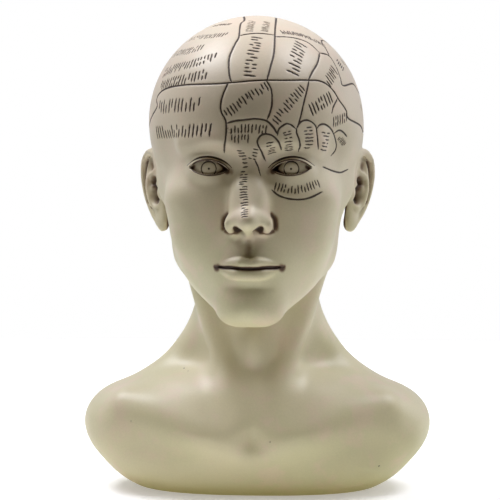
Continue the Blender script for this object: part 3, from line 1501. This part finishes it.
    def relax(self, share: float = 0.5, steps: int = 1) -> None:
        """Moves each point part of the way to the middle of its neighbours, and back on to the skin."""
        edges, _ = self.edges()
        a, b = edges.T
        both, others = np.concatenate([a, b]), np.concatenate([b, a])
        size = len(self.points)
        counts = np.bincount(both, minlength=size)
        sums = [np.bincount(both, self.points[others, axis], minlength=size) for axis in range(3)]
        middles = columns(*sums) / counts[:, None]
        self.points = self.form.land(self.points + share * (middles - self.points), steps)


@dataclass(frozen=True)
class Net:
    """A first closed skin, netted around the bust's form on a grid."""

    step: float = 1.6  # in millimetres
    corner: Triple = (-115.2, -126.0, -6.0)
    counts: tuple[int, int, int] = (144, 132, 196)
    settling: int = 6  # sweeps over the grid
    band: float = 1.7  # how far from the skin every point is read, in double steps
    filled: float = 0.05  # how deep a filled corner lies, in steps

    def distances(self, form: BustForm) -> Array:
        """The distance at each grid point: read at every other one, and at the rest near the skin."""
        double = 2.0 * self.step * MM
        coarse_counts = [count // 2 for count in self.counts]
        coarse = self.read(form, coarse_counts, double)
        rough = coarse.repeat(2, axis=0).repeat(2, axis=1).repeat(2, axis=2)
        near = np.flatnonzero(np.abs(rough.ravel()) < self.band * double)
        places = columns(*np.unravel_index(near, self.counts)) * self.step * MM
        fine = rough.ravel()
        fine[near] = form.distance(places + np.array(self.corner) * MM)
        return self.settled(fine.reshape(self.counts))

    def settled(self, d: Array) -> Array:
        """Fills the few grid squares through which the skin could run two ways."""
        for _ in range(self.settling):
            for one, other in ((0, 1), (1, 2), (0, 2)):
                steps = np.eye(3, dtype=int)[[one, other]]
                ring = [0 * steps[0], steps[0], steps[0] + steps[1], steps[1]]
                size = np.array(d.shape) - ring[2]
                values = [d[tuple(map(slice, start, start + size))] for start in ring]
                a, b, c, e = (value < 0.0 for value in values)
                for place in np.argwhere((a == c) & (b == e) & (a != b)):
                    corners = [tuple(place + start) for start in ring if d[tuple(place + start)] >= 0.0]
                    d[min(corners, key=lambda corner: d[corner])] = -self.filled * self.step * MM
        return d

    def read(self, form: BustForm, counts: list[int], step: float) -> Array:
        """The distance at every point of a grid with the same corner."""
        places = np.indices(counts).reshape(3, -1).T * step
        return form.distance(places + np.array(self.corner) * MM).reshape(counts)

    def skin(self, form: BustForm) -> tuple[Points, Array]:
        """The net's points and its faces of four corners.

        Args:
            form: The form to net.

        Returns:
            The points, in metres, and the faces, whose corners run so that they face outwards.
        """
        d = self.distances(form)
        inside = d < 0.0
        crossings = np.zeros([count - 1 for count in self.counts])
        total = np.zeros([*crossings.shape, 3])
        cells = np.array(crossings.shape)
        for axis in range(3):
            others = [other for other in range(3) if other != axis]
            for shift in ((0, 0), (0, 1), (1, 0), (1, 1)):
                start = np.zeros(3, dtype=int)
                start[others] = shift
                first = tuple(map(slice, start, start + cells))
                start[axis] = 1
                second = tuple(map(slice, start, start + cells))
                crossed = inside[first] != inside[second]
                share = d[first] / np.where(crossed, d[first] - d[second], 1.0)
                total[..., axis] += np.where(crossed, share, 0.0)
                for k, moved in zip(others, shift):
                    total[..., k] += np.where(crossed, float(moved), 0.0)
                crossings += crossed
        used = np.flatnonzero(crossings.ravel())
        number = np.full(crossings.size, -1)
        number[used] = np.arange(len(used))
        middles = total.reshape(-1, 3)[used] / crossings.ravel()[used][:, None]
        corners = columns(*np.unravel_index(used, crossings.shape))
        points = (corners + middles) * self.step * MM + np.array(self.corner) * MM
        return points, self.faces(inside, number.reshape(crossings.shape))

    def faces(self, inside: Array, number: Array) -> Array:
        """One face across each grid edge that passes through the skin."""
        made = []
        for axis, one, other in ((0, 1, 2), (1, 2, 0), (2, 0, 1)):
            step = np.eye(3, dtype=int)
            low = np.array([1, 1, 1])
            low[axis] = 0
            high = np.array(inside.shape) - 1
            places = np.indices(high - low).reshape(3, -1).T + low
            here = inside[tuple(places.T)]
            there = inside[tuple((places + step[axis]).T)]
            for leaving in (True, False):
                chosen = places[(here != there) & (here == leaving)]
                ring = [chosen - step[one] - step[other], chosen - step[other], chosen, chosen - step[one]]
                face = columns(*(number[tuple(cell.T)] for cell in ring))
                made.append(face if leaving else face[:, ::-1])
        return np.concatenate(made)


@dataclass
class CarvedBust:
    """The bust's finished skin: the same form as its solid, with the fine carving and the engraved map."""

    form: BustForm
    camera: PhotoCamera
    region_map: RegionMap
    fine: FineFolds = FineFolds()
    net: Net = Net()
    node: str = "phrenology_bust"
    name: str = "carved_bust"
    first_faces: int = 15000
    sag: float = 0.035  # how far an edge may lie off the form, in millimetres, as are the other lengths
    finest: float = 1.1
    finest_on_face: float = 0.8
    face_reach: float = 20.0  # about each eye and the mouth
    finest_on_lids: float = 0.5
    lid_reach: float = 18.0  # from the middle of the eyeball
    coarsest: float = 5.5
    line_edge: float = 0.56  # the wanted edge on an engraved line
    line_band: float = 0.5  # how far to each side of a line's middle it holds
    fold_edge: float = 0.62
    fold_band: float = 0.9
    stain_edge: float = 0.95
    growth: float = 0.5
    line_growth: float = 1.3
    rounds: int = 7
    flips: int = 3
    mends: int = 2
    groove_reach: float = 1.35  # how far a groove's sides reach, as a share of half its width
    looks: tuple[Pair, ...] = ((1.0, 0.3), (2.6, 0.3), (6.0, 0.25), (11.0, 0.15))  # how far off, and weight

    def build(self) -> bpy.types.Object:
        """Makes the finished skin.

        Returns:
            The new object.
        """
        points, faces = self.thinned(*self.net.skin(self.form))
        tree = BVHTree.FromPolygons(points.tolist(), faces.tolist())
        finder = SkinFinder(self.form, self.camera, tree)
        lines = self.region_map.grooves(finder) + IrisCarving().grooves(self.form)
        lines += AirPits().grooves(finder)
        engravings = (Engraving(lines, "line"), Engraving(self.fine.grooves(self.form), "fold"))
        log.info("engraving: %d grooves, %d points", len(lines), len(engravings[0].depths))
        wash = Wash(self.fine.stains(self.form), self.form)
        skin = Skin(self.form, self.form.land(points, 3), faces)
        for number in range(self.rounds):
            self.measure(skin, engravings, wash)
            split = skin.split()
            turned = [skin.flip() for _ in range(self.flips)]
            skin.relax()
            log.info("round %d: %d split, %s turned, %d faces", number, split, turned, len(skin.faces))
        for _ in range(self.mends):
            if not skin.mend():
                break
            skin.flip()
        skin.points = self.form.land(skin.points, 1)
        return self.finish(skin, engravings, wash)

    def thinned(self, points: Points, faces: Array) -> tuple[Points, Array]:
        """The net with far fewer faces where the form is plain, as triangles."""
        mesh = bpy.data.meshes.new("net")
        landed = self.form.land(points, 2)
        mesh.from_pydata(landed.tolist(), [], faces.tolist())
        net = bpy.data.objects.new("net", mesh)
        bpy.context.scene.collection.objects.link(net)
        plain = net.vertex_groups.new(name="plain")
        plain.add(np.flatnonzero(self.least(landed) >= self.finest * MM).tolist(), 1.0, "REPLACE")
        thin = net.modifiers.new("thin", "DECIMATE")
        thin.vertex_group = plain.name
        thin.ratio = self.first_faces / (2 * len(faces))
        thin.use_collapse_triangulate = True
        work = bmesh.new()
        work.from_object(net, bpy.context.evaluated_depsgraph_get())
        bmesh.ops.triangulate(work, faces=work.faces)
        work.verts.ensure_lookup_table()
        kept = np.array([vertex.co for vertex in work.verts])
        triangles = np.array([[vertex.index for vertex in face.verts] for face in work.faces])
        work.free()
        bpy.data.objects.remove(net)
        bpy.data.meshes.remove(mesh)
        log.info("net: %d faces, thinned to %d triangles", len(faces), len(triangles))
        return kept, triangles

    def measure(self, skin: Skin, engravings: tuple[Engraving, Engraving], wash: Wash) -> None:
        """Gives each point of the skin the edge length that its bend and the engraving ask for."""
        normals = self.form.normals(skin.points)
        edges, _ = skin.edges()
        a, b = edges.T
        run = lengths(skin.points[a] - skin.points[b])
        bend = lengths(normals[a] - normals[b]) / np.maximum(run, 1e-9)
        sharpest = np.full(len(skin.points), 1e-3)
        np.maximum.at(sharpest, a, bend)
        np.maximum.at(sharpest, b, bend)
        by_bend = np.sqrt(8.0 * self.sag * MM / sharpest)
        by_bend = np.clip(by_bend, self.least(skin.points), self.coarsest * MM)
        away, _ = engravings[0].nearest(skin.points)
        by_line = self.line_edge * MM + self.line_growth * np.maximum(away - self.line_band * MM, 0.0)
        away, _ = engravings[1].nearest(skin.points)
        by_fold = self.fold_edge * MM + self.growth * np.maximum(away - self.fold_band * MM, 0.0)
        stained = wash.values(skin.points) > 0.01
        skin.wanted = np.minimum(np.minimum(by_bend, by_line), by_fold)
        skin.wanted[stained] = np.minimum(skin.wanted[stained], self.stain_edge * MM)
        skin.spread(edges, self.growth)

    def least(self, points: Points) -> Values:
        """The shortest edge that a bend may ask for: shorter about the eyes and the mouth."""
        mirrored = points.copy()
        mirrored[:, 0] = np.abs(points[:, 0])
        least = np.full(len(points), self.finest * MM)
        eye, mouth = self.form.eye.centre, self.form.mouth
        for middle, reach, finest in ((eye, self.face_reach, self.finest_on_face),
                                      (mouth, self.face_reach, self.finest_on_face),
                                      (eye, self.lid_reach, self.finest_on_lids)):
            away = lengths(mirrored - self.form.to_frame(np.array([middle])))
            least[away < reach * MM] = finest * MM
        return least

    def finish(self, skin: Skin, engravings: tuple[Engraving, Engraving], wash: Wash) -> bpy.types.Object:
        """Cuts the grooves, and makes the object with its measures for the shader."""
        points = skin.points
        normals = self.form.normals(points)
        carved = points.copy()
        measures = {"shelter": self.shelter(points, normals), "stain": wash.values(points)}
        for engraving in engravings:
            depths, found = engraving.cut(points, self.groove_reach)
            carved -= normals * depths[:, None]
            measures.update(found)
        mesh = bpy.data.meshes.new(self.name)
        mesh.from_pydata(carved.tolist(), [], skin.faces.tolist())
        mesh.validate()
        mesh.shade_smooth()
        for name, values in measures.items():
            self.write(mesh, name, values)
        bust = bpy.data.objects.new(self.name, mesh)
        bpy.context.scene.collection.objects.link(bust)
        log.info("%s: %d triangles", self.name, len(mesh.polygons))
        return bust

    def shelter(self, points: Points, normals: Points) -> Values:
        """How closed in each point is: 0 in the open, near 1 deep in a fold or hollow."""
        closed = np.zeros(len(points))
        for reach, weight in self.looks:
            free = self.form.distance(points + normals * reach * MM) / (reach * MM)
            closed += weight * np.clip(1.0 - free, 0.0, 1.0)
        return closed

    def write(self, mesh: bpy.types.Mesh, name: str, values: Array) -> None:
        """Keeps a number or a vector for each point under a name that the material reads."""
        kind, key = ("FLOAT_VECTOR", "vector") if values.ndim == 2 else ("FLOAT", "value")
        mesh.attributes.new(name, kind, "POINT").data.foreach_set(key, values.astype(np.float32).ravel())


class Sheet:
    """A node tree that is filled in, a node at a time."""

    def __init__(self, tree: bpy.types.NodeTree) -> None:
        self.tree = tree

    def add(self, kind: str, inputs: Inputs | None = None, **settings: object) -> bpy.types.Node:
        """Adds a node, sets it up, and sets or links its inputs.

        Args:
            kind: The node's type.
            inputs: A value, or an output to link, for each named or numbered input.
            **settings: The node's own settings.

        Returns:
            The new node.
        """
        node = self.tree.nodes.new(kind)
        for name, value in settings.items():
            setattr(node, name, value)
        self.fill(node, inputs or {})
        return node

    def fill(self, node: bpy.types.Node, inputs: Inputs) -> None:
        """Sets or links a node's inputs."""
        for name, value in inputs.items():
            if isinstance(value, Socket):
                self.tree.links.new(value, node.inputs[name])
            else:
                node.inputs[name].default_value = value

    def mix(self, factor: object, first: object, second: object) -> Socket:
        """Mixes two colours."""
        return self.add("ShaderNodeMix", {0: factor, 6: first, 7: second}, data_type="RGBA").outputs[2]

    def math(self, operation: str, first: object, second: object) -> Socket:
        """One sum on two numbers."""
        return self.add("ShaderNodeMath", {0: first, 1: second}, operation=operation).outputs[0]

    def scaled(self, value: object, factor: object, more: object) -> Socket:
        """A value times a factor, and more."""
        return self.math("ADD", self.math("MULTIPLY", value, factor), more)

    def attribute(self, name: str, output: str = "Fac") -> Socket:
        """A measure that is kept for each point of the mesh."""
        return self.add("ShaderNodeAttribute", attribute_name=name).outputs[output]

    def ramp(self, value: object, low: float, high: float, start: float = 0.0, end: float = 1.0) -> Socket:
        """Rises smoothly from a start to an end as a value goes from low to high."""
        inputs = {0: value, 1: low, 2: high, 3: start, 4: end}
        return self.add("ShaderNodeMapRange", inputs, interpolation_type="SMOOTHSTEP").outputs[0]

    def noise(self, place: object, scale: float, detail: float = 2.0, roughness: float = 0.5) -> Socket:
        """Soft noise over a place."""
        inputs = {"Vector": place, "Scale": scale, "Detail": detail, "Roughness": roughness}
        return self.add("ShaderNodeTexNoise", inputs).outputs[0]


def shader_group(name: str, inputs: dict[str, str], outputs: dict[str, str]) -> bpy.types.NodeTree:
    """A new group of shader nodes, with only its sockets, each by its name and kind."""
    group = bpy.data.node_groups.new(name, "ShaderNodeTree")
    for in_out, sockets in (("INPUT", inputs), ("OUTPUT", outputs)):
        for socket, kind in sockets.items():
            group.interface.new_socket(socket, in_out=in_out, socket_type="NodeSocket" + kind)
    return group


@dataclass(frozen=True)
class ResinFinish:
    """Satin cream resin, faintly mottled, with a dark brown wash left in the carving."""

    cream: Colour = (0.63, 0.57, 0.4, 1.0)
    pinkish: Colour = (0.67, 0.54, 0.43, 1.0)
    greenish: Colour = (0.54, 0.52, 0.32, 1.0)
    cap: Colour = (0.64, 0.525, 0.45, 1.0)
    tan: Colour = (0.46, 0.37, 0.22, 1.0)
    glaze: Colour = (0.2, 0.115, 0.062, 1.0)
    wash: Colour = (0.05, 0.024, 0.015, 1.0)
    ink: Colour = (0.04, 0.022, 0.014, 1.0)
    roughness: float = 0.46
    bleed: Triple = (0.004, 0.0028, 0.0018)  # how far light spreads under the skin, in metres

    def material(self) -> bpy.types.Material:
        """Builds the material.

        Returns:
            The finished resin.
        """
        made = bpy.data.materials.new("ivory_resin_finish")
        made.use_nodes = True
        sheet = Sheet(made.node_tree)
        shader = made.node_tree.nodes["Principled BSDF"]
        place = sheet.add("ShaderNodeTexCoord").outputs["Object"]
        colours = {"Cream": self.cream, "Pinkish": self.pinkish, "Greenish": self.greenish, "Cap": self.cap}
        mottle = sheet.add("ShaderNodeGroup", {"Place": place, **colours}, node_tree=self.mottle_group())
        carving = sheet.add("ShaderNodeGroup", {"Place": place}, node_tree=self.carving_group())
        base = sheet.mix(self.base_edge(sheet, place), mottle.outputs["Colour"], self.tan)
        glazed = sheet.mix(sheet.ramp(carving.outputs["Wash"], 0.0, 0.75), base, self.glaze)
        washed = sheet.mix(sheet.ramp(carving.outputs["Wash"], 0.45, 1.0), glazed, self.wash)
        inked = sheet.mix(carving.outputs["Ink"], washed, self.ink)
        rough = sheet.scaled(mottle.outputs["Variation"], 0.12, self.roughness - 0.06)
        rough = sheet.scaled(carving.outputs["Ink"], 0.2, rough)
        grain = sheet.add("ShaderNodeGroup", {"Place": place}, node_tree=self.grain_group())
        height = {"Height": carving.outputs["Depth"], "Distance": 0.0003, "Strength": 0.7}
        cut = sheet.add("ShaderNodeBump", height, invert=True).outputs[0]
        height = {"Height": grain.outputs["Height"], "Distance": 0.00012, "Strength": 0.6, "Normal": cut}
        bump = sheet.add("ShaderNodeBump", height).outputs[0]
        under = {"Subsurface Weight": 0.06, "Subsurface Radius": self.bleed, "Subsurface Scale": 1.0}
        sheet.fill(shader, {"Base Color": inked, "Roughness": rough, "Normal": bump, **under})
        return made

    def base_edge(self, sheet: Sheet, place: Socket) -> Socket:
        """Where the lower edge has gone tan."""
        height = sheet.add("ShaderNodeSeparateXYZ", {0: place}).outputs[2]
        ragged = sheet.scaled(sheet.noise(place, 45.0), 0.006, height)
        return sheet.ramp(ragged, 0.002, 0.014, 0.55, 0.0)

    def mottle_group(self) -> bpy.types.NodeTree:
        """The faint change of the cream over the surface."""
        colours = dict.fromkeys(("Cream", "Pinkish", "Greenish", "Cap"), "Color")
        outputs = {"Colour": "Color", "Variation": "Float"}
        group = shader_group("resin_mottle", {"Place": "Vector", **colours}, outputs)
        sheet = Sheet(group)
        given = sheet.add("NodeGroupInput").outputs
        broad = sheet.noise(given["Place"], 14.0, 3.0)
        patches = sheet.noise(given["Place"], 52.0, 4.0, 0.6)
        speckle = sheet.noise(given["Place"], 900.0, 2.0)
        height = sheet.add("ShaderNodeSeparateXYZ", {0: given["Place"]}).outputs[2]
        raised = sheet.scaled(broad, 0.05, height)
        green = sheet.mix(sheet.ramp(broad, 0.42, 0.68, 0.0, 0.6), given["Cream"], given["Greenish"])
        capped = sheet.mix(sheet.ramp(raised, 0.17, 0.28, 0.0, 0.55), green, given["Cap"])
        pink = sheet.mix(sheet.ramp(patches, 0.48, 0.68, 0.0, 0.6), capped, given["Pinkish"])
        toned = {"Value": sheet.scaled(speckle, 0.12, 0.94), "Color": pink}
        toned = sheet.add("ShaderNodeHueSaturation", toned).outputs[0]
        sheet.add("NodeGroupOutput", {"Colour": toned, "Variation": patches})
        return group

    def carving_group(self) -> bpy.types.NodeTree:
        """Where ink fills the engraved lines, and where wash was left in folds and hollows."""
        outputs = dict.fromkeys(("Ink", "Wash", "Depth"), "Float")
        group = shader_group("carving_wash", {"Place": "Vector"}, outputs)
        sheet = Sheet(group)
        place = sheet.add("NodeGroupInput").outputs["Place"]
        ragged = sheet.math("MULTIPLY", sheet.math("SUBTRACT", sheet.noise(place, 700.0, 2.0), 0.5), 0.3)
        line = self.beyond(sheet, "line")
        ink = sheet.ramp(sheet.math("ADD", line, ragged), -0.1, 0.12, 0.97, 0.0)
        blotch = sheet.math("MULTIPLY", sheet.math("SUBTRACT", sheet.noise(place, 260.0, 3.0), 0.5), 0.16)
        wash = sheet.ramp(sheet.math("ADD", sheet.attribute("shelter"), blotch), 0.42, 0.9, 0.0, 0.92)
        stain = sheet.math("MULTIPLY", sheet.attribute("stain"), sheet.scaled(blotch, 4.0, 1.0))
        stain_wash = sheet.math("MINIMUM", stain, 0.97)
        share = sheet.math("DIVIDE", self.beyond(sheet, "fold"), sheet.attribute("fold_half"))
        soft = sheet.ramp(sheet.scaled(blotch, 2.5, share), -0.45, 0.6, 1.0, 0.0)
        fold_wash = sheet.math("MULTIPLY", soft, sheet.attribute("fold_wash"))
        halo = sheet.ramp(sheet.math("ADD", line, ragged), 0.0, 0.9, 0.16, 0.0)
        darkest = sheet.math("MAXIMUM", wash, halo)
        for other in (fold_wash, stain_wash):
            darkest = sheet.math("MAXIMUM", darkest, other)
        depth = sheet.ramp(line, -0.35, 0.1, 1.0, 0.0)
        sheet.add("NodeGroupOutput", {"Ink": ink, "Wash": darkest, "Depth": depth})
        return group

    def beyond(self, sheet: Sheet, name: str) -> Socket:
        """How far a place is outside the nearest groove, in millimetres.

        It is exact between the mesh's points too, where those near it belong to one groove alone.
        """
        vectors = (sheet.attribute(name + end, "Vector") for end in ("_offset", "_mark"))
        exact, same = (sheet.add("ShaderNodeVectorMath", {0: vector}, operation="LENGTH").outputs["Value"]
                       for vector in vectors)
        away = sheet.attribute(name + "_away")
        alone = sheet.math("MULTIPLY", sheet.ramp(same, 0.985, 0.999), sheet.ramp(away, 1.0, 1.3, 1.0, 0.0))
        distance = sheet.add("ShaderNodeMix", {0: alone, 2: away, 3: exact}).outputs[0]
        return sheet.math("SUBTRACT", distance, sheet.attribute(name + "_half"))

    def grain_group(self) -> bpy.types.NodeTree:
        """The skin of a casting: a fine unevenness with a few pinholes."""
        group = shader_group("cast_grain", {"Place": "Vector"}, {"Height": "Float"})
        sheet = Sheet(group)
        place = sheet.add("NodeGroupInput").outputs["Place"]
        wave = sheet.noise(place, 220.0, 3.0)
        fine = sheet.noise(place, 1500.0, 2.0)
        cells = sheet.add("ShaderNodeTexVoronoi", {"Vector": place, "Scale": 130.0}).outputs["Distance"]
        holes = sheet.ramp(cells, 0.0, 0.07, 1.0, 0.0)
        height = sheet.scaled(wave, 0.7, sheet.math("MULTIPLY", fine, 0.3))
        pitted = sheet.math("SUBTRACT", height, sheet.math("MULTIPLY", holes, 0.5))
        sheet.add("NodeGroupOutput", {"Height": pitted})
        return group


@dataclass(frozen=True)
class Lamp:
    """A soft square light, aimed at the bust."""

    name: str
    place: Triple
    size: float
    power: float
    colour: Triple = (1.0, 1.0, 1.0)

    def build(self, target: Triple) -> None:
        """Adds the light."""
        bpy.ops.object.light_add(type="AREA", location=self.place)
        lamp = bpy.context.active_object
        lamp.name = self.name
        lamp.data.size = self.size
        lamp.data.energy = self.power
        lamp.data.color = self.colour
        lamp.rotation_euler = (Vector(target) - Vector(self.place)).to_track_quat("-Z", "Y").to_euler()


@dataclass(frozen=True)
class Surround:
    """A white surround whose light differs by direction, and which shows white all over."""

    behind: Triple = (0.32, 0.37, 0.49)  # the light from there, by colour
    overhead: Triple = (0.23, 0.19, 0.11)

    def build(self) -> None:
        """Makes the surround the scene's own."""
        world = bpy.data.worlds.new("white_surround")
        world.use_nodes = True
        sheet = Sheet(world.node_tree)
        way = sheet.add("ShaderNodeSeparateXYZ", {0: sheet.add("ShaderNodeTexCoord").outputs["Generated"]})
        shares = (sheet.ramp(way.outputs[1], -0.1, 0.7), sheet.ramp(way.outputs[2], 0.2, 0.9))
        parts = [sheet.add("ShaderNodeVectorMath", {0: colour, "Scale": share}, operation="SCALE").outputs[0]
                 for colour, share in zip((self.behind, self.overhead), shares)]
        light = sheet.add("ShaderNodeVectorMath", {0: parts[0], 1: parts[1]}, operation="ADD").outputs[0]
        shown = sheet.add("ShaderNodeLightPath").outputs["Is Camera Ray"]
        colour = sheet.mix(shown, light, WHITE)
        sheet.fill(world.node_tree.nodes["Background"], {"Color": colour, "Strength": 1.0})
        bpy.context.scene.world = world


@dataclass(frozen=True)
class Studio:
    """A plain pale floor, soft light from above on both sides, and the surround."""

    floor_size: float = 1.2
    floor_front: float = -0.4  # where the floor starts, before the bust
    floor_tones: tuple[Colour, Colour] = ((0.84, 0.84, 0.84, 1.0), (0.86, 0.86, 0.86, 1.0))
    floor_glow: Colour = (0.24, 0.24, 0.13, 1.0)  # the light that it throws on the bust
    floor_shown: Colour = (0.3, 0.3, 0.32, 1.0)  # the glow as the camera sees it
    target: Triple = (0.0, 0.0, 0.18)
    lamps: tuple[Lamp, ...] = (
        Lamp("left_softbox", (-0.8, 0.2, 1.5), 0.6, 23.5, (0.98, 0.99, 1.05)),
        Lamp("right_softbox", (0.8, 0.2, 1.5), 0.6, 16.2, (0.98, 0.99, 1.05)),
        Lamp("back_softbox", (1.2, 0.6, 0.45), 0.7, 2.5),
        Lamp("front_softbox", (0.0, -0.75, 1.45), 0.6, 1.2),
    )

    def build(self) -> None:
        """Adds the floor, the lamps and the surround."""
        middle = self.floor_front + self.floor_size / 2.0
        bpy.ops.mesh.primitive_plane_add(size=self.floor_size, location=(0.0, middle, 0.0))
        floor = bpy.context.active_object
        floor.name = "studio_floor"
        paper = bpy.data.materials.new("floor_paper")
        paper.use_nodes = True
        sheet = Sheet(paper.node_tree)
        shader = paper.node_tree.nodes["Principled BSDF"]
        place = sheet.add("ShaderNodeTexCoord").outputs["Object"]
        tone = sheet.mix(sheet.noise(place, 3.0), *self.floor_tones)
        shown = sheet.add("ShaderNodeLightPath").outputs["Is Camera Ray"]
        glow = sheet.mix(shown, self.floor_glow, self.floor_shown)
        colours = {"Base Color": tone, "Emission Color": glow}
        sheet.fill(shader, {**colours, "Roughness": 0.9, "Emission Strength": 1.0})
        floor.data.materials.append(paper)
        for lamp in self.lamps:
            lamp.build(self.target)
        Surround().build()
        bpy.context.scene.view_settings.view_transform = "Standard"
        log.info("studio: %d lamps", len(self.lamps))


def main() -> None:
    """Loads the frame, carves and finishes the bust, and sets up the camera and the studio."""
    logging.basicConfig(level=logging.INFO, format="%(message)s")
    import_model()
    bpy.ops.object.select_all(action="DESELECT")
    camera = PhotoCamera()
    camera.build()
    carved = CarvedBust(BustForm(), camera, RegionMap())
    bust = carved.build()
    bust.data.materials.append(ResinFinish().material())
    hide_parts(carved.node)
    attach(bust, "root")
    Studio().build()


if __name__ == "__main__":
    main()
